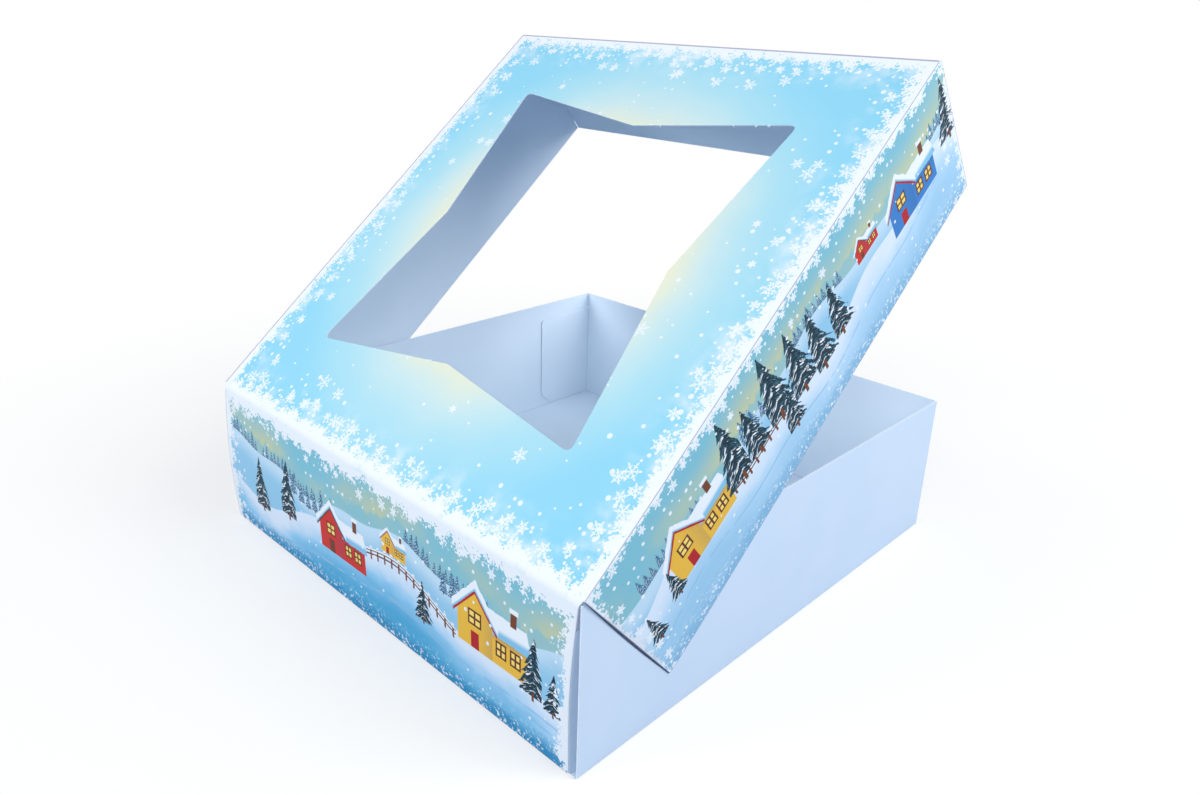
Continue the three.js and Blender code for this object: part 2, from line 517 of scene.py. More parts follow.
lidInks = {
    "glow": dye(238, 239, 212),
    "paleSky": dye(206, 233, 236),
    "midSky": dye(177, 226, 240),
    "sky": dye(150, 218, 243),
    "deepSky": dye(136, 209, 240),
    "snow": dye(244, 249, 254),
    # the fold line ink is painted shade along the lid's folds
    "foldLine": dye(126, 128, 172),
}
lidArt = {                      # lengths in millimetres
    "foldShadeWidth": 0.85,      # a faint line of painted shade along the folds, printed a little to the right of them
    "foldShadeShift": 0.42,
    "glowRadius": 68,           # from the middle of the lid
    "skyRadius": 134,
    "deepReach": 45,            # beyond that
    "waver": (38, 16),          # size and height of the sky's wavering
    "hazeReach": (26, 4),       # a thin haze of frost, from inside to the folds
    "frost": (2.4, 5.5, 15.0),  # solid white along the folds, then ragged, then a spray
    "thick": 0.72,              # chance of a flake or dot by the folds, above the chance elsewhere
    "thin": 0.02,
    "flakes": ((1, 12.5, (2.8, 4.4), 32), (2, 10.0, (2.2, 3.6), 24), (3, 8.5, (1.9, 3.2), 13)),
    "dots": ((4, 5.0, (0.45, 1.05), 30), (5, 2.8, (0.25, 0.6), 18)),   # seed, spacing, radii, how far in
}


def makeLidPrint():
    sheet = Print("lidPrint", lidInks, "glow")
    halfWidth, length = lidHalf / mm, lidLength / mm

    def fromEdge(x, y):
        return (halfWidth - abs(x)).least(y).least(length - y)

    up = sheet.y - length / 2
    size, height = lidArt["waver"]
    spread = (sheet.x * sheet.x + up * up).root() + (sheet.cloud(size, 2, 1) - 0.5) * height
    first, last = lidArt["glowRadius"], lidArt["skyRadius"]
    step = (last - first) / 4
    sheet.lay("paleSky", spread.fade(first, first + step * 1.4))
    sheet.lay("midSky", spread.fade(first + step, first + step * 2.4))
    sheet.lay("sky", spread.fade(first + step * 2, last))
    sheet.lay("deepSky", spread.fade(last, last + lidArt["deepReach"]) * 0.6)
    edge = fromEdge(sheet.x, sheet.y)
    sheet.lay("snow", edge.fade(*lidArt["hazeReach"]) * sheet.cloud(9, 3, 2).fade(0.42, 0.78) * 0.75)
    for stencil, sorts in ((flakeStencil, lidArt["flakes"]), (dotStencil, lidArt["dots"])):
        for sort in sorts:
            mask = scatter(sheet, stencil, fromEdge, *sort, lidArt["thick"], lidArt["thin"])
            sheet.lay("snow", mask * 0.86)
    sheet.lay("snow", frost(sheet, edge, *lidArt["frost"], 3))
    # painted shade: a faint line along the side and far folds
    shift = lidArt["foldShadeShift"]
    fromFold = (halfWidth - abs(sheet.x - shift)).least(length - shift - sheet.y)
    sheet.lay("foldLine", fromFold.under(lidArt["foldShadeWidth"], 0.3) * 0.7)
    return sheet.done()


# Winter scene: sky, two hills, fir groves, cottages and a fence, on the hinge wall and the lid's flaps

winterInks = {
    "skyHigh": dye(130, 195, 213),
    "skyLow": dye(206, 208, 160),
    "haze": dye(140, 196, 208),
    "farHill": dye(200, 228, 246),
    "farShade": dye(136, 198, 232),
    "hill": dye(226, 239, 253),
    "hillMid": dye(142, 206, 242),
    "hillLow": dye(58, 164, 210),
    "bank": dye(30, 136, 186),
    "track": dye(150, 196, 230),
    "snow": dye(243, 249, 254),
    "farFir": dye(34, 92, 138),
    "fir": dye(16, 42, 58),
    "firLight": dye(50, 104, 122),
    "timber": dye(116, 66, 44),
    "lamp": dye(255, 222, 120),
    "frame": dye(92, 44, 34),
    "dusk": dye(60, 80, 120),
    # the rim ink is painted shade, laid as faint lines along a print's ends and foot
    "rim": dye(126, 128, 172),
}
hillSockets = ("base", "tallA", "lengthA", "startA", "tallB", "lengthB", "startB")
groveSockets = ("from1", "to1", "from2", "to2", "from3", "to3")
noGrove = (-100, -90)


def ridge(x, hill):   # a hill line: its height, then two swings of height, length and start, in millimetres
    base, tallA, lengthA, startA, tallB, lengthB, startB = hill
    return ((x + startA) / lengthA).wave() * tallA + ((x + startB) / lengthB).wave() * tallB + base


firArt = {
    "stray": 0.35,          # sideways, in spacings
    "shortest": 0.55,       # in full heights
    "planted": 0.9,         # share of the places in a grove
    "grain": 0.06,          # brush size, in full heights
    "tiers": 6,
    "droop": 0.5,
    "halfWidth": 0.27,      # in heights
    "trunkHalf": 0.022,
}


def drawFirs(under, x, y, spacing, tall, seed, dark, light, *rest):
    hill, groves = rest[:7], rest[7:]
    coat = Coat(winterInks, under)
    column = (x / spacing).cell()
    luck = chance(column, 0.5, seed)
    middle = (column + 0.5 + (luck[0] - 0.5) * firArt["stray"]) * spacing
    height = (luck[1] * (1 - firArt["shortest"]) + firArt["shortest"]) * tall
    x, y = x - middle, y - ridge(middle, hill)
    aside, share = abs(x), y / height
    present = middle.within(groves[0], groves[1], 0.01)
    for start, end in (groves[2:4], groves[4:6]):
        present = present.most(middle.within(start, end, 0.01))
    present = present * luck[2].under(firArt["planted"], 0.001)
    grain = tall * firArt["grain"]
    strokes = cloud((x * 0.8 - y * 0.3) / grain, (aside * 0.6 + y) * 2.2 / grain, 1, 2, 0.1)
    clumps = cloud(x / grain, y / grain, 3.5, 1, 0.3)
    rise = (y + aside * firArt["droop"]) / height * firArt["tiers"]
    tier = (rise + (strokes - 0.5) * 0.9 + (clumps - 0.5) * 2.2).share()
    ragged = strokes * 0.8 + clumps * 0.5 + 0.35
    half = (1.02 - share) * (1.25 - tier * 0.5) * ragged * height * firArt["halfWidth"]
    body = (aside - half).under(0, 0.3) * share.within(0.03, 1, 0.02) * present
    coat.lay(dark, body)
    coat.lay(light, body * strokes.fade(0.48, 0.58) * 0.7)
    laden = tier * 0.7 + (strokes - 0.5) * 1.6 + (clumps - 0.5) * 0.8
    coat.lay("snow", body * laden.fade(0.63, 0.77))
    trunk = aside.under(height * firArt["trunkHalf"], 0.15) * share.within(-0.05, 0.08, 0.02) * present
    coat.lay("timber", trunk)
    return [coat.colour]


cottageArt = {                            # in cottage sizes, from the middle of the gable's foot
    "wing": (0.5, 1.75, -0.06, 0.72),     # left, right, low, high
    "chimney": (1.2, 1.38, 1.15, 1.5),
    "chimneySnow": (1.16, 1.42, 1.48, 1.58),
    "panes": ((0.78, 1.02, 0.22, 0.50), (1.26, 1.50, 0.22, 0.50), (-0.17, 0.17, 0.58, 0.86)),
    "frameWidth": 0.05,
    "barHalf": 0.018,
    "eaves": 0.82,
    "gableHalf": 0.6,
    "doorHalf": 0.13,
    "soft": 0.02,
}


def drawCottage(under, x, y, placeX, placeY, size, walls, roof):   # a gable and a wing, deep in snow
    soft, gableHalf, rim = cottageArt["soft"], cottageArt["gableHalf"], cottageArt["frameWidth"]
    coat = Coat(winterInks, under)
    x, y = (x - placeX) / size, (y - placeY) / size
    aside = abs(x)

    def block(left, right, low, high):
        return x.within(left, right, soft) * y.within(low, high, soft)

    wobble = (cloud(x + placeX, y, 0.22, 2, 0.2) - 0.5) * 0.14
    wing = block(*cottageArt["wing"])
    coat.lay(walls, wing)
    coat.lay("dusk", wing * y.fade(0.45, 0.75) * 0.45)
    wingRoof = (x + y * 0.32).within(0.6, 2.1, soft) * y.within(wobble + 0.66, wobble * 0.6 + 1.22, soft)
    coat.lay("farShade", wingRoof)
    coat.lay("snow", wingRoof * (y - x * 0.05).fade(0.70, 0.86))
    coat.lay("timber", block(*cottageArt["chimney"]))
    coat.lay("snow", block(*cottageArt["chimneySnow"]))
    pitch = (y - cottageArt["eaves"]) + aside
    gable = aside.under(gableHalf, soft) * y.fade(-0.08, -0.06) * pitch.under(gableHalf, soft)
    coat.lay(walls, gable)
    coat.lay("dusk", gable * x.fade(0, 0.7) * 0.25)
    coat.lay(roof, aside.under(0.76, soft) * pitch.within(0.54, 0.62, soft))
    snowTop = aside.under(0.8, soft) * pitch.within(wobble * 0.5 + 0.62, wobble + 0.86, soft)
    coat.lay("farShade", snowTop)
    coat.lay("snow", snowTop * pitch.fade(0.64, 0.70))
    coat.lay(roof, aside.under(cottageArt["doorHalf"], soft) * y.within(-0.06, 0.36, soft))
    for left, right, low, high in cottageArt["panes"]:
        coat.lay("frame", block(left - rim, right + rim, low - rim, high + rim))
        upright = abs(x - (left + right) / 2).under(cottageArt["barHalf"], soft)
        bars = upright.most(abs(y - (low + high) / 2).under(cottageArt["barHalf"], soft))
        coat.lay("lamp", block(left, right, low, high) * (1 - bars))
    return [coat.colour]


fenceArt = {"spacing": 5, "post": 4.6, "cap": 0.9, "rails": (1.5, 3.3), "railHalf": 0.3}   # millimetres


def drawFence(under, x, y, start, end, *hill):
    coat = Coat(winterInks, under)
    low, high = fenceArt["rails"]
    half, post = fenceArt["railHalf"], fenceArt["post"]
    span = x.within(start, end, 0.2)
    y = y - ridge(x, hill)
    fromPost = abs((x / fenceArt["spacing"]).share() - 0.5)
    posts = fromPost.under(0.09, 0.03) * y.within(-1, post, 0.2)
    rails = abs(y - low).under(half, 0.15).most(abs(y - high).under(half, 0.15))
    coat.lay("timber", posts.most(rails) * span)
    caps = fromPost.under(0.13, 0.03) * y.within(post - 0.2, post - 0.2 + fenceArt["cap"], 0.2)
    coat.lay("snow", caps.most(abs(y - (high + 0.45)).under(0.25, 0.15)) * span)
    return [coat.colour]


groundSockets = ("under", "x", "y")
firSockets = groundSockets + ("spacing", "tall", "seed", "dark", "light") + hillSockets + groveSockets
firStencil = makeStencil("firs", firSockets, ("colour",), drawFirs)
cottageSockets = groundSockets + ("placeX", "placeY", "size", "walls", "roof")
cottageStencil = makeStencil("cottage", cottageSockets, ("colour",), drawCottage)
fenceStencil = makeStencil("fence", groundSockets + ("start", "end") + hillSockets, ("colour",), drawFence)


def lowered(hill, drop):   # sockets of a hill line, a little lower
    return dict(zip(hillSockets, (hill[0] - drop, *hill[1:])))


def pressFirs(sheet, hill, drop, spacing, tall, seed, groves, dark, light):
    ends = [end for grove in groves for end in grove]
    ends += noGrove * (3 - len(groves))
    values = {**lowered(hill, drop), **dict(zip(groveSockets, ends))}
    inks = {"dark": winterInks[dark], "light": winterInks[light]}
    sheet.press(firStencil, spacing=spacing, tall=tall, seed=seed, **inks, **values)


def pressCottages(sheet, cottages):
    for place, size, walls, roof in cottages:
        sheet.press(cottageStencil, placeX=place[0], placeY=place[1], size=size, walls=walls, roof=roof)


farFirs = (0, 3.6, 8.5)     # below the hill line, spacing and height, in millimetres
midFirs = (5, 6.2, 13)
nearFirs = (16, 17, 24)
slopeArt = {             # where each starts and is full, in millimetres
    "glow": (24, 2),     # above the far hill
    "farShade": (1, 12),  # down the far hill
    "mid": (2, 15),      # down the near hill
    "low": (9, 28),
    "bank": (9, 2),      # above the foot
    "specks": (14, 1),
    "mistHeight": 13,
}
winterSnow = (           # stencil, seed, spacing, radii, how far in, chance by the edges, chance elsewhere
    (dotStencil, 8, 4.6, (0.25, 0.75), 30, 0.5, 0.07),
    (flakeStencil, 9, 8.5, (1.7, 3.0), 15, 0.95, 0),
)


def makeWinterPrint(name, size, art):
    sheet = Print(name, winterInks, "skyHigh")
    width, height = size[0] / mm, size[1] / mm
    seed = art["seed"]

    def fromEdge(x, y):   # frost grows from the top and both ends
        return (height - y).least(x).least(width - x)

    broad = sheet.cloud(32, 3, seed, 1.6)
    fine = sheet.cloud(5, 4, seed + 1, 1.8)
    farTop, hillTop = ridge(sheet.x, art["farHill"]), ridge(sheet.x, art["hill"])
    sheet.lay("skyLow", (sheet.y - farTop).fade(*slopeArt["glow"]) * broad.fade(0.3, 0.62))
    mist = sheet.cloud(7, 4, seed + 2, 0.6) * slopeArt["mistHeight"]
    sheet.lay("haze", (sheet.y - farTop - mist).under(-1.0, 2.5) * 0.8)
    pressFirs(sheet, art["farHill"], *farFirs, seed + 3, art["farGroves"], "farFir", "haze")
    inFar = (sheet.y - farTop).under(0, 0.5)
    sheet.lay("farHill", inFar)
    farDeep = farTop - sheet.y + (broad - 0.5) * 14
    sheet.lay("farShade", inFar * farDeep.fade(*slopeArt["farShade"]) * 0.8)
    pressFirs(sheet, art["farHill"], *midFirs, seed + 4, art["midGroves"], "farFir", "haze")
    pressCottages(sheet, art["farCottages"])
    inHill = (sheet.y - hillTop).under(0, 0.5)
    deep = hillTop - sheet.y + (broad - 0.5) * 18 + (fine - 0.5) * 7
    sheet.lay("hill", inHill)
    sheet.lay("hillMid", inHill * deep.fade(*slopeArt["mid"]) * art["shade"])
    sheet.lay("hillLow", inHill * deep.fade(*slopeArt["low"]) * art["bank"])
    for offset, sway in art["tracks"]:
        line = sheet.y - hillTop * 0.55 - sheet.x * sway + offset
        sheet.lay("track", inHill * abs(line).under(0.25, 0.5) * fine.fade(0.35, 0.5) * 0.7)
    start, end, drop = art["fence"]
    sheet.press(fenceStencil, start=start, end=end, **lowered(art["hill"], drop))
    pressCottages(sheet, art["cottages"])
    pressFirs(sheet, art["hill"], 3, *art["firs"], seed + 5, art["groves"], "fir", "firLight")
    pressFirs(sheet, art["hill"], *nearFirs, seed + 6, art["nearGroves"], "fir", "firLight")
    bank = sheet.y + (fine - 0.5) * 9 + (broad - 0.5) * 8
    sheet.lay("bank", bank.fade(*slopeArt["bank"]) * art["bank"])
    specks = sheet.cloud(1.5, 3, seed + 7).fade(0.54, 0.66)
    sheet.lay("snow", specks * sheet.y.fade(*slopeArt["specks"]) * 0.85)
    for stencil, offset, *sort in winterSnow:
        mask = scatter(sheet, stencil, fromEdge, seed + offset, *sort)
        sheet.lay("snow", mask * 0.95)
    sheet.lay("snow", frost(sheet, fromEdge(sheet.x, sheet.y), *art["frost"], seed + 10))
    # painted shade: faint lines along both ends and the foot
    for reach, wide in zip((sheet.x, width - sheet.x, sheet.y), art["rim"]):
        sheet.lay("rim", reach.under(wide, 0.2) * 0.6)
    return sheet.done()


yellowWalls, redWalls, blueWalls = dye(240, 190, 70), dye(206, 52, 46), dye(58, 128, 200)
redRoof, brownRoof, navyRoof = dye(178, 34, 40), dye(110, 58, 40), dye(38, 62, 130)
flapFrost = (-0.4, 3.4, 9.5)

hingeArt = {
    "seed": 11,
    "farHill": (47, 4, 21, 20, 1.6, 7.5, 5),
    "hill": (31, 8, 33, 128, 2.5, 12, 20),
    "farGroves": ((6, 84), (150, 205)),
    "midGroves": ((60, 100), (176, 190)),
    "farCottages": (((140, 42), 7, yellowWalls, redRoof),),
    "cottages": (((96, 23), 15, redWalls, brownRoof), ((196, 27), 17, yellowWalls, redRoof)),
    "fence": (124, 184, 4),       # from, to, how far below the hill line
    "firs": (13, 30),             # spacing, height
    "groves": ((20, 70), (226, 248)),
    "nearGroves": ((130, 165),),
    "tracks": ((6, 0.02), (9, 0.05)),
    "shade": 0.95,                # how strong the blue of the slope is
    "bank": 0.85,                 # and of its foot
    "frost": (2.0, 6.0, 15.0),    # solid, ragged, spray, as on the lid
    "rim": (1.0, 0.3, 0.7),       # painted shade: a faint line along both ends and the foot
}
rightFlapArt = {
    "seed": 31,
    "farHill": (46, 3, 24, 60, 1.5, 8.3, 31),
    "hill": (34, 6, 30, 10, 3, 10.5, 44),
    "farGroves": ((10, 60), (120, 160), (230, 250)),
    "midGroves": ((60, 96), (196, 226)),
    "farCottages": (((174, 42), 7, redWalls, brownRoof),),
    "cottages": (((38, 28), 16, yellowWalls, redRoof), ((206, 29), 16, blueWalls, redRoof)),
    "fence": (66, 112, 5),
    "firs": (16, 37),
    "groves": ((64, 134), (142, 190), (234, 250)),
    "nearGroves": ((6, 30), (100, 118)),
    "tracks": ((4, 0.03), (12, -0.04)),
    "shade": 0.55,
    "bank": 0.30,
    "frost": flapFrost,
    "rim": (0.2, 0.3, 0.25),
}
leftFlapArt = {
    "seed": 51,
    "farHill": (45, 4, 27, 10, 1.4, 9.7, 12),
    "hill": (33, 7, 36, 60, 2.6, 9.2, 8),
    "farGroves": ((40, 120), (210, 246)),
    "midGroves": ((20, 50), (130, 150)),
    "farCottages": (((86, 41), 7, blueWalls, navyRoof),),
    "cottages": (((150, 26), 17, redWalls, brownRoof), ((60, 30), 15, yellowWalls, redRoof)),
    "fence": (88, 140, 4),
    "firs": (15, 34),
    "groves": ((8, 44), (184, 240)),
    "nearGroves": ((100, 140),),
    "tracks": ((8, 0.04), (2, -0.02)),
    "shade": 0.65,
    "bank": 0.40,
    "frost": flapFrost,
    "rim": (0.3, 0.2, 0.25),
}
frontFlapArt = {
    "seed": 71,
    "farHill": (46, 4, 19, 80, 1.5, 7, 20),
    "hill": (32, 7, 29, 90, 2.8, 11, 30),
    "farGroves": ((20, 70), (160, 230)),
    "midGroves": ((110, 140), (224, 244)),
    "farCottages": (((196, 43), 7, yellowWalls, brownRoof),),
    "cottages": (((112, 27), 17, blueWalls, redRoof), ((30, 28), 15, redWalls, brownRoof)),
    "fence": (50, 100, 4),
    "firs": (15, 34),
    "groves": ((66, 96), (170, 246)),
    "nearGroves": ((4, 24), (140, 168)),
    "tracks": ((3, 0.03), (10, 0.01)),
    "shade": 0.65,
    "bank": 0.40,
    "frost": flapFrost,
    "rim": (0.8, 0.8, 0.25),
}


def makeCreasePrint():
    sheet = Print("creasePrint", lidInks, "snow")
    sheet.lay("paleSky", sheet.cloud(6, 3, 5).fade(0.56, 0.72) * 0.5)
    return sheet.done()


hingeWallSize = (wallHalf * 2, hingePoint.z - crease["reach"])
flapSize = (lidLength - flapLow.y, -flapLow.z)
frontFlapSize = (frontFlapHalf * 2, -flapLow.z)
lidPrint = makeLidPrint()
hingePrint = makeWinterPrint("hingePrint", hingeWallSize, hingeArt)
rightFlapPrint = makeWinterPrint("rightFlapPrint", flapSize, rightFlapArt)
leftFlapPrint = makeWinterPrint("leftFlapPrint", flapSize, leftFlapArt)
frontFlapPrint = makeWinterPrint("frontFlapPrint", frontFlapSize, frontFlapArt)
creasePrint = makeCreasePrint()
print("finishes:", len(bpy.data.materials))


# Panels: each starts flat, its outside facing +Z, and is then folded, bent, thickened and stood in place


def toMode(mode):
    bpy.ops.object.mode_set(mode=mode)


def selectWhere(piece, test):
    toMode("EDIT")
    bpy.ops.mesh.select_mode(type="VERT")
    bpy.ops.mesh.select_all(action="DESELECT")
    toMode("OBJECT")
    for vertex in piece.data.vertices:
        vertex.select = test(vertex.co)
    toMode("EDIT")


def addSheet(name, low, high, cuts):
    bpy.ops.object.select_all(action="DESELECT")
    bpy.ops.mesh.primitive_grid_add(x_subdivisions=cuts[0], y_subdivisions=cuts[1], size=1, calc_uvs=False)
    piece = bpy.context.object
    piece.name = piece.data.name = name
    toMode("EDIT")
    bpy.ops.transform.resize(value=(high[0] - low[0], high[1] - low[1], 1))
    bpy.ops.transform.translate(value=((high[0] + low[0]) / 2, (high[1] + low[1]) / 2, 0))
    toMode("OBJECT")
    return piece


def foldLip(piece, edge, place, above=None):   # curls an edge by half of a fold, or the rest above a line
    axis = 1 if edge in ("bottom", "top") else 0
    reach = fold["radius"] * math.sin(fold["turn"]) * (-1 if edge == "left" else 1)
    if above is None:
        selectWhere(piece, lambda co: abs(co[axis] - place) < tiny and abs(co.z) < tiny)
    else:
        selectWhere(piece, lambda co: abs(co.x - place - reach) < tiny and co.y > above)
    centre = [0, 0, -fold["radius"]]
    centre[axis] = place
    turn = fold["turn"] if edge in ("top", "left") else -fold["turn"]
    spinAxis = (1, 0, 0) if axis == 1 else (0, 1, 0)
    bpy.ops.mesh.spin(steps=fold["steps"], angle=turn, center=centre, axis=spinAxis)
    toMode("OBJECT")


def faceOut(piece):   # every face of the sheet looks the way its middle does
    toMode("EDIT")
    bpy.ops.mesh.select_all(action="SELECT")
    bpy.ops.mesh.normals_make_consistent(inside=False)
    toMode("OBJECT")
    if sum(face.normal.z * face.area for face in piece.data.polygons) < 0:
        toMode("EDIT")
        bpy.ops.mesh.flip_normals()
        toMode("OBJECT")


def mapSheet(piece, up=1):   # across is X, and up is Y or the axis given
    chart = piece.data.uv_layers.new(name="sheet")
    for loop in piece.data.loops:
        co = piece.data.vertices[loop.vertex_index].co
        chart.data[loop.index].uv = (co.x * mapScale, co[up] * mapScale)


def thicken(piece, outside, thinness=None):
    for finish in (outside, innerBoard, cutEdge):
        piece.data.materials.append(finish)
    solid = piece.modifiers.new("board", "SOLIDIFY")
    if thinness:
        group = piece.vertex_groups.new(name="thickness")
        for vertex in piece.data.vertices:
            group.add([vertex.index], 1 - thinness(vertex.co), "REPLACE")
        solid.vertex_group = group.name
    solid.thickness = board
    solid.offset = -1
    solid.use_even_offset = True
    solid.material_offset = 1
    solid.material_offset_rim = 2
    bpy.ops.object.modifier_apply(modifier=solid.name)


def standPanel(piece, corner, across, up, lid):
    across, up = Vector(across), Vector(up)
    place = Matrix((across, up, across.cross(up))).transposed().to_4x4()
    place.translation = Vector(corner)
    piece.matrix_world = lidFrame @ place if lid else place
    bpy.ops.object.transform_apply(location=True, rotation=True, scale=True)
    bpy.ops.object.shade_smooth_by_angle(angle=smoothAngle)


def heading(angle):
    return Vector((math.cos(math.radians(angle)), math.sin(math.radians(angle))))


def trimSheet(piece, place, direction):   # cuts away what lies beyond a line across the sheet
    toMode("EDIT")
    bpy.ops.mesh.select_all(action="SELECT")
    bpy.ops.mesh.bisect(plane_co=(*place, 0), plane_no=(*heading(direction), 0), clear_outer=True)
    toMode("OBJECT")


def roundTrims(corner, toward, radius):   # cuts that round a square corner, toward is its outward diagonal
    middle = Vector(corner) - heading(toward) * radius * math.sqrt(2)
    return [(middle + heading(angle) * radius, angle) for angle in (toward - 30, toward, toward + 30)]


def makePanel(name, size, folds, corner, across, up, lid=False, outside=None, cuts=(24, 10), trims=(),
              bend=None, thinness=None, crush=None, squareAbove=None):
    width, height = size
    lips = {edge: fold["radius"] if edge in folds else 0 for edge in ("left", "right", "top", "bottom")}
    low = (lips["left"], lips["bottom"])
    high = (width - lips["right"], height - lips["top"])
    piece = addSheet(name + "_board", low, high, cuts)
    for place, direction in trims:
        trimSheet(piece, place, direction)
    places = {"left": low[0], "bottom": low[1], "right": high[0], "top": high[1]}
    for edge in folds:
        foldLip(piece, edge, places[edge])
    if squareAbove:
        for edge in ("left", "right"):
            foldLip(piece, edge, places[edge], squareAbove)
    finishPanel(piece, name, size, corner, across, up, lid, outside, bend, thinness, crush)


def finishPanel(piece, name, size, corner, across, up, lid, outside, bend=None, thinness=None, crush=None):
    faceOut(piece)
    mapSheet(piece)
    shares = [(vertex.co.x / size[0], vertex.co.y / size[1]) for vertex in piece.data.vertices]
    if bend:
        for vertex, share in zip(piece.data.vertices, shares):
            vertex.co += Vector(bend(*share))
    thicken(piece, outside or whiteBoard, thinness)
    shadeFolds(piece)
    if crush:
        crushEndAndPaintShadow(piece, [crush(*share) for share in shares])
    standPanel(piece, corner, across, up, lid)
    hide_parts(name)
    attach(piece, "lid" if lid else "base")


def addFinish(piece, finish):   # gives the finish's place in the piece's list
    piece.data.materials.append(finish)
    return len(piece.data.materials) - 1


def shadeFolds(piece):
    # the inner faces of the folds take a darker board, as painted shade in the creases
    pressed = addFinish(piece, paintedFoldShade)
    for face in piece.data.polygons:
        if face.material_index == 1 and abs(face.normal.z) < fold["flat"]:
            face.material_index = pressed


def crushEndAndPaintShadow(piece, crushed):   # draws the inside of the sheet out beyond its printed edge, and gives that cut end a painted shadow
    count = len(crushed)
    shaded = addFinish(piece, paintedEndShadow)
    for vertex, reach in zip(piece.data.vertices[count:], crushed):
        vertex.co.x += reach
    # the crushed end faces take the dark board, a painted shadow
    for face in piece.data.polygons:
        if face.material_index == 2 and all(crushed[index % count] for index in face.vertices):
            face.material_index = shaded


def clip(share):
    return min(max(share, 0), 1)


def swell(share):   # 0 at both ends, 1 half way
    return math.sin(math.pi * clip(share))


# Base

hingeWall = {
    "bulgeLeft": 1.9 * mm,     # half way up, at its left end
    "bulgeRight": 0.5 * mm,
    "drawnInLeft": 0.6 * mm,   # at its foot, away from the side walls
    "drawnInRight": 2.8 * mm,
    "drawnInPower": 3,         # how soon that ends along the wall
    "drawnInRise": 1.5,        # and up it
}
plainWalls = {"sideBulge": 0.45 * mm, "frontBulge": 0.6 * mm, "farSetback": 0.05 * mm}
squareFoldGap = 0.3 * mm       # above the tabs, where the end walls' own folds turn square


def hingeBulge(across, up):
    ends = hingeWall["bulgeLeft"] + (hingeWall["bulgeRight"] - hingeWall["bulgeLeft"]) * across
    return ends * swell(up)


def hingeDrawIn(across, up):   # the wall's two folds lean in towards their feet
    atEnd = hingeWall["drawnInLeft"] if across < 0.5 else -hingeWall["drawnInRight"]
    along = (abs(across - 0.5) * 2) ** hingeWall["drawnInPower"]
    return atEnd * along * math.sin(clip(max(1 - up, 0) * hingeWall["drawnInRise"]) * math.pi / 2)


def bendHingeWall(across, up):
    return (hingeDrawIn(across, up), 0, hingeBulge(across, up))


def bendSideWall(across, up):
    return (0, 0, plainWalls["sideBulge"] * swell(across) * swell(up))


def bendFrontWall(across, up):
    return (0, 0, plainWalls["frontBulge"] * swell(across) * up)


def makeBase():
    halfWidth, halfDepth, cutEnd = baseWidth / 2, baseDepth / 2, sideWallLow.y
    farEnd = halfDepth - plainWalls["farSetback"]
    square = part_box("front_wall_right_tab")[1].z + squareFoldGap
    makePanel("base_floor", (baseWidth, baseDepth), ("left", "right", "top", "bottom"),
              (-halfWidth, halfDepth, 0), (1, 0, 0), (0, -1, 0), cuts=(16, 16))
    makePanel("hinge_wall", hingeWallSize, ("left", "right", "bottom"), (-wallHalf, -halfDepth, 0),
              (1, 0, 0), (0, 0, 1), outside=hingePrint, cuts=(40, 16), bend=bendHingeWall,
              squareAbove=square)
    makePanel("front_wall", (wallHalf * 2, wallTop), ("left", "right", "bottom"), (wallHalf, halfDepth, 0),
              (-1, 0, 0), (0, 0, 1), cuts=(30, 24), bend=bendFrontWall, squareAbove=square)
    for side, sign, startY in (("right", 1, cutEnd), ("left", -1, farEnd)):
        makePanel(side + "_wall", (farEnd - cutEnd, wallTop), ("bottom",), (sign * halfWidth, startY, 0),
                  (0, sign, 0), (0, 0, 1), cuts=(30, 12), bend=bendSideWall)
    print("base: floor and four walls")


# Glue tabs of the base, glued to the insides of the side walls

baseTab = {
    "chamferLength": 9.5 * mm,
    "chamferHeight": 8 * mm,
    "cornerRadius": 2.2 * mm,
    "footDrop": 0.7 * mm,
}
pressedEdge = {"width": 7 * mm, "out": 0.2 * mm, "start": 4}   # a tab's free edges touch the panel


def pressOut(fromFold, up, size):   # how far a point of a tab is pressed out
    gaps = ((1 - fromFold) * size[0], up * size[1], (1 - up) * size[1])
    nearest = max(1 - min(gaps) / pressedEdge["width"], 0)
    return pressedEdge["out"] * nearest * min(fromFold * pressedEdge["start"], 1)


def makeBaseTab(end, side):
    node = end + "_wall_" + side + "_tab"
    low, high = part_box(node)
    low.z -= baseTab["footDrop"]
    sign = 1 if side == "right" else -1
    outer = baseDepth / 2
    free = low.y if end == "front" else high.y
    width, height = outer - abs(free), high.z - low.z
    foldSide = "left" if (side == "right") == (end == "hinge") else "right"
    freeX, outward = (width, 1) if foldSide == "left" else (0, -1)
    cutX = freeX - outward * baseTab["chamferLength"]
    slope = math.degrees(math.atan2(baseTab["chamferLength"], baseTab["chamferHeight"]))
    trims = [((cutX, 0), -slope if outward > 0 else slope - 180)]
    trims += roundTrims((freeX, height), 45 if outward > 0 else 135, baseTab["cornerRadius"])
    startY = -outer if end == "hinge" else outer - width
    if side == "left":
        startY += width
    handed = 0 if side == "left" else 1   # which end of the hinge wall the tab belongs to

    def bend(across, up):
        fromFold = across if foldSide == "left" else 1 - across
        pressed = pressOut(fromFold, up, (width, height))
        if end == "front":
            return (0, 0, pressed)
        wallUp = (low.z + up * height) / hingePoint.z
        shift = (1 - fromFold) * hingeBulge(handed, wallUp)
        return (-outward * shift, 0, pressed - (1 - fromFold) * abs(hingeDrawIn(handed, wallUp)))

    makePanel(node, (width, height), (foldSide,), (sign * wallHalf, startY, low.z), (0, sign, 0), (0, 0, 1),
              cuts=(10, 12), trims=trims, bend=bend)


# Lid

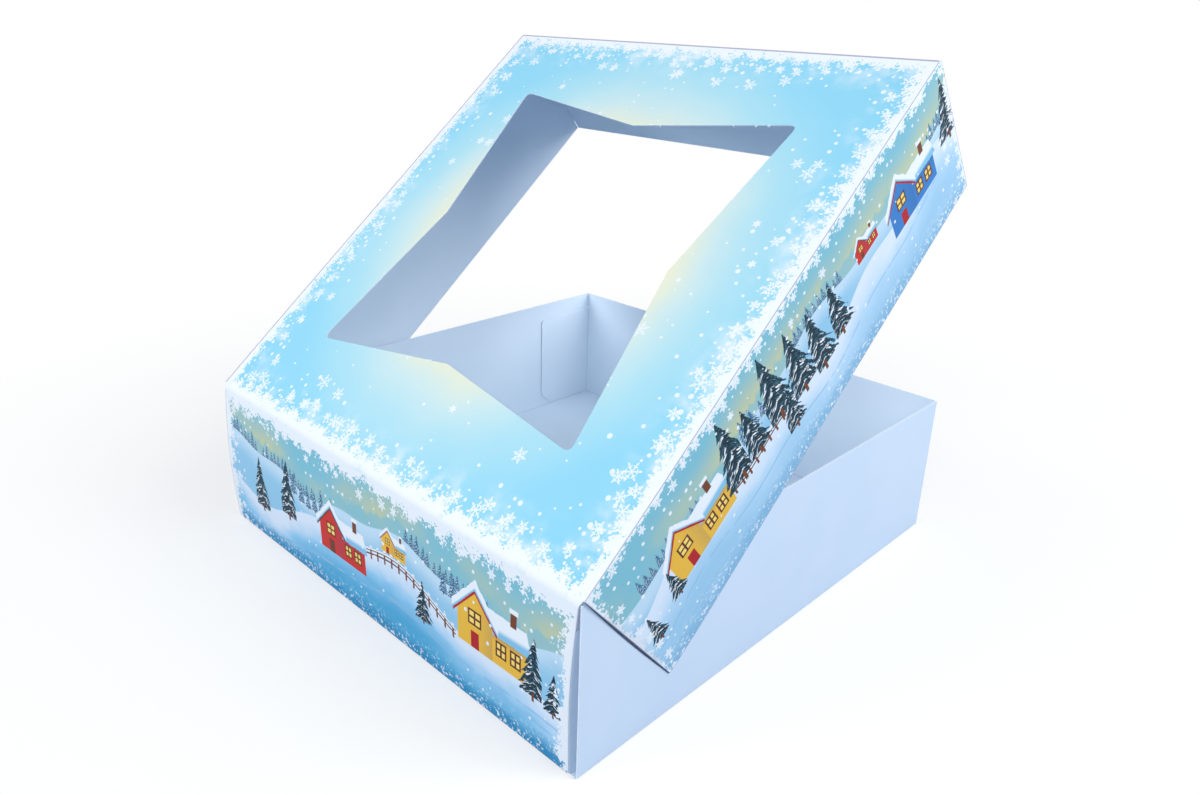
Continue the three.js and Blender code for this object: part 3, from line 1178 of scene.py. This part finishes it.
sideFlap = {
    "taper": 1.2 * mm,
    "cornerDraw": 0.6 * mm,     # the lid narrows to the hinge wall's width, beside the crease
    "nearEndLean": 0.72 * mm,   # below that the flap's cut end leans on the side wall
    "crushedReach": 0.95 * mm,  # its inside stands out beyond the print, most half way down
    "crushedSpan": (0.85, 0.05),  # of the swell, from the foot to the top
    "farSetback": 0.05 * mm,
    "nearPower": 12,            # how soon all this ends along the lid
    "cornerPower": 8,
}
lidTab = {"slope": 7 * mm, "cornerRadius": 2.2 * mm, "pressedThin": 0.85, "thinWidth": 6 * mm}


def nearHinge(along):   # 1 at the crease, soon 0 along the lid
    return (1 - clip(along)) ** sideFlap["nearPower"]


def flapShape(sign):   # how a side flap bends and where it is crushed and given a painted shadow, at its end beside the hinge
    def fromNear(across):
        return across if sign > 0 else 1 - across

    def bend(across, up):
        draw, lean = sideFlap["cornerDraw"], sideFlap["nearEndLean"]
        near = fromNear(across)
        slant = sign * sideFlap["taper"] * (1 - up) if near < tiny else 0
        lower = 1 - up ** sideFlap["cornerPower"]
        return (slant, 0, -(draw + (lean - draw) * lower) * nearHinge(near))

    def crush(across, up):
        foot, top = sideFlap["crushedSpan"]
        reach = sideFlap["crushedReach"] * swell(foot + (top - foot) * up)
        return -sign * reach if fromNear(across) < tiny else 0

    return bend, crush


def bendLidTop(across, along):
    draw = math.copysign(sideFlap["cornerDraw"], across)
    return (-draw * (2 * abs(across)) ** 4 * nearHinge(along), 0, 0)


def makeLidFlaps():
    depth, farEnd = -flapLow.z, lidLength - sideFlap["farSetback"]
    length = farEnd - flapLow.y
    makePanel("lid_front_flap", frontFlapSize, ("top", "left", "right"), (frontFlapHalf, lidLength, -depth),
              (-1, 0, 0), (0, 0, 1), True, frontFlapPrint, (40, 12))
    sides = (("right", 1, flapLow.y, rightFlapPrint), ("left", -1, farEnd, leftFlapPrint))
    for side, sign, startY, outside in sides:
        bend, crush = flapShape(sign)
        makePanel("lid_" + side + "_flap", (length, depth), ("top",), (sign * lidHalf, startY, -depth),
                  (0, sign, 0), (0, 0, 1), True, outside, (60, 12), bend=bend, crush=crush)
    print("lid: three flaps")


def makeLidTab(side):
    sign = 1 if side == "right" else -1
    width, height = lidLength - lidTabLow.y, lidTabHigh.z - lidTabLow.z
    foldSide, freeX, outward = ("right", 0, 180) if side == "right" else ("left", width, 0)
    startY = lidTabLow.y if side == "right" else lidLength
    drop = lidTab["slope"]
    lean = sign * math.degrees(math.atan2(drop, width))
    trims = [((freeX, drop), -90 - lean), ((freeX, height - drop), 90 + lean)]
    for y, turn in ((drop, 45), (height - drop, -45)):
        trims += roundTrims((freeX, y), outward + sign * turn, lidTab["cornerRadius"])

    def bend(across, up):
        return (0, 0, pressOut(across if foldSide == "left" else 1 - across, up, (width, height)))

    def thinness(co):   # pressed thin towards the free end
        return lidTab["pressedThin"] * max(1 - abs(freeX - co.x) / lidTab["thinWidth"], 0)

    makePanel("lid_" + side + "_tab", (width, height), (foldSide,),
              (sign * frontFlapHalf, startY, lidTabLow.z), (0, sign, 0), (0, 0, 1), True,
              cuts=(14, 12), trims=trims, bend=bend, thinness=thinness)


# Lid panel: a ring of board between the window and the folds

window = {
    "tipReach": 84.5 * mm,      # middle of the lid to a corner tip, across and along
    "waistReach": 72 * mm,      # middle of the lid to the kink half way along a side
    "tipRadius": 3.5 * mm,
    "straightSteps": 12,        # points on half a side
    "tipSteps": 4,
    "rings": 8,
}


def arcPoint(start, corner, end, share):   # on the curve that leaves one line and meets another
    return start.lerp(corner, share).lerp(corner.lerp(end, share), share)


def windowLoop():   # points round the window and, beside each, how far it is from kink to tip
    kink = Vector((window["waistReach"], 0))
    corner = Vector((window["tipReach"], window["tipReach"]))
    toKink = (kink - corner).normalized()
    inTip = Vector((-1, -1)).normalized()
    start = corner + toKink * window["tipRadius"] / math.tan(math.acos(toKink.dot(inTip)))
    straight, curved = window["straightSteps"], window["tipSteps"]
    half = [kink.lerp(start, step / straight) for step in range(straight)]
    half += [arcPoint(start, corner, start.yx, step / curved / 2) for step in range(curved)]
    middle = arcPoint(start, corner, start.yx, 0.5)
    side = half + [middle] + [spot.yx for spot in reversed(half[1:])]
    shares = [step / len(half) for step in range(len(half) + 1)]
    shares = shares + list(reversed(shares[1:-1]))
    loop = []
    for quarter in range(4):
        turn = Matrix.Rotation(quarter * math.pi / 2, 2)
        for step, (spot, share) in enumerate(zip(side, shares)):
            onEdge = Vector((1, share)) if step < len(half) else Vector((share, 1))
            loop.append((turn @ spot, turn @ onEdge))
    return loop


def ringKey(spot):   # tells the points of a ring apart
    return tuple(round(part * 1e7) for part in spot)


def makeLidTop():
    lip, near = fold["radius"], crease["reach"]
    middle = Vector((0, lidLength / 2))
    loop = windowLoop()
    far = lidHalf - lip
    bpy.ops.object.select_all(action="DESELECT")
    bpy.ops.mesh.primitive_circle_add(vertices=len(loop), radius=1, calc_uvs=False)
    piece = bpy.context.object
    piece.name = piece.data.name = "lid_top_board"
    inner = [spot + middle for spot, onEdge in loop]
    outer = []
    for spot, onEdge in loop:
        y = near if onEdge.y < 0 else lidLength - lip
        outer.append(Vector((onEdge.x * far, middle.y + abs(onEdge.y) * (y - middle.y))))
    for vertex, spot in zip(piece.data.vertices, inner):
        vertex.co = (*spot, 0)
    ring = inner
    for step in range(1, window["rings"] + 1):
        before = {ringKey(spot): index for index, spot in enumerate(ring)}
        ring = [start.lerp(end, step / window["rings"]) for start, end in zip(inner, outer)]
        selectWhere(piece, lambda co: ringKey(co.xy) in before)
        bpy.ops.mesh.extrude_edges_move()
        toMode("OBJECT")
        for vertex in piece.data.vertices:
            if vertex.select:
                vertex.co = (*ring[before[ringKey(vertex.co.xy)]], 0)
    for edge, place in (("left", -far), ("right", far), ("top", lidLength - lip)):
        foldLip(piece, edge, place)
    finishPanel(piece, "lid_top", (lidHalf * 2, lidLength), (0, 0, 0), (1, 0, 0), (0, 1, 0), True, lidPrint,
                bendLidTop)
    print("lid: panel,", len(piece.data.polygons), "faces")


# Torn fibres where the window's waste was held: side (0 right, 1 far, 2 left, 3 near), place, width, reach

nicks = (
    (1, -16, 1.8, 1.3),
    (1, -54, 1.5, 1.2),
    (1, -65, 1.9, 1.7),
    (1, -71, 2.2, 1.6),
    (3, -11, 2.0, 1.5),
    (0, -34, 1.3, 0.9),
    (2, 46, 1.4, 0.9),
)
nickShape = {
    "root": 0.2,          # how far each starts inside the board, in millimetres
    "depth": 0.06 * mm,   # below the print
    "droop": 0.14 * mm,
    "waves": 9,           # of the torn end
    "waveHeight": 0.3,    # in reaches
    "narrowing": 0.5,
}


def makeNicks():
    slope = (window["tipReach"] - window["waistReach"]) / window["tipReach"]
    tufts = []
    for side, place, width, reach in nicks:
        piece = addSheet("window_nicks", (-0.5, 0), (0.5, 1), (5, 4))
        turn = Matrix.Rotation(side * math.pi / 2, 2)
        root = Vector((window["waistReach"] + slope * abs(place) * mm, place * mm))
        along = Vector((math.copysign(slope, place), 1)).normalized()
        inward = Vector((-along.y, along.x))
        faceOut(piece)
        mapSheet(piece)
        for vertex in piece.data.vertices:
            aside, out = vertex.co.x, vertex.co.y
            wave = nickShape["waveHeight"] * math.sin(aside * nickShape["waves"] + place)
            ragged = 1 - nickShape["waveHeight"] + wave - abs(aside) * nickShape["narrowing"]
            sideways = along * aside * width * mm * (1 - nickShape["narrowing"] * out)
            spot = turn @ (root + sideways + inward * (out * ragged * reach - nickShape["root"]) * mm)
            drop = nickShape["depth"] + nickShape["droop"] * out * (1 + aside)
            vertex.co = (spot.x, spot.y + lidLength / 2, -drop)
        thicken(piece, innerBoard)
        tufts.append(piece)
    for piece in tufts:
        piece.select_set(True)
    bpy.ops.object.join()
    piece = bpy.context.object
    standPanel(piece, (0, 0, 0), (1, 0, 0), (0, 1, 0), True)
    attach(piece, "lid")
    print("window: torn fibres", len(nicks))


# Crease between the hinge wall and the lid

def makeCrease():
    reach = crease["reach"]
    wallEdge = wallHalf - fold["radius"] / 2
    lidEdge = lidHalf - fold["radius"] - sideFlap["cornerDraw"] * nearHinge(reach / lidLength)
    wallEnd = hingePoint - Vector((0, 0, reach))
    lidEnd = lidFrame @ Vector((0, reach, 0))
    piece = addSheet("hinge_crease_board", (-1, 0), (1, 1), (crease["columns"], crease["rows"]))
    faceOut(piece)
    for vertex in piece.data.vertices:
        across, share = vertex.co.x, vertex.co.y
        half = wallEdge * (1 - share) + lidEdge * share
        section = arcPoint(wallEnd, hingePoint, lidEnd, share)
        vertex.co = (across * half, section.y, section.z)
    mapSheet(piece, 2)
    thicken(piece, creasePrint)
    bpy.ops.object.shade_smooth_by_angle(angle=smoothAngle)
    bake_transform(piece)
    print("crease: bends between hinge wall and lid")


makeBase()
for end in ("hinge", "front"):
    for side in ("left", "right"):
        makeBaseTab(end, side)
makeLidTop()
makeLidFlaps()
for side in ("left", "right"):
    makeLidTab(side)
makeNicks()
makeCrease()
for name, node in frame["nodes"].items():
    if name.endswith("_glue"):
        node.material_slots[0].material = gluedSeam
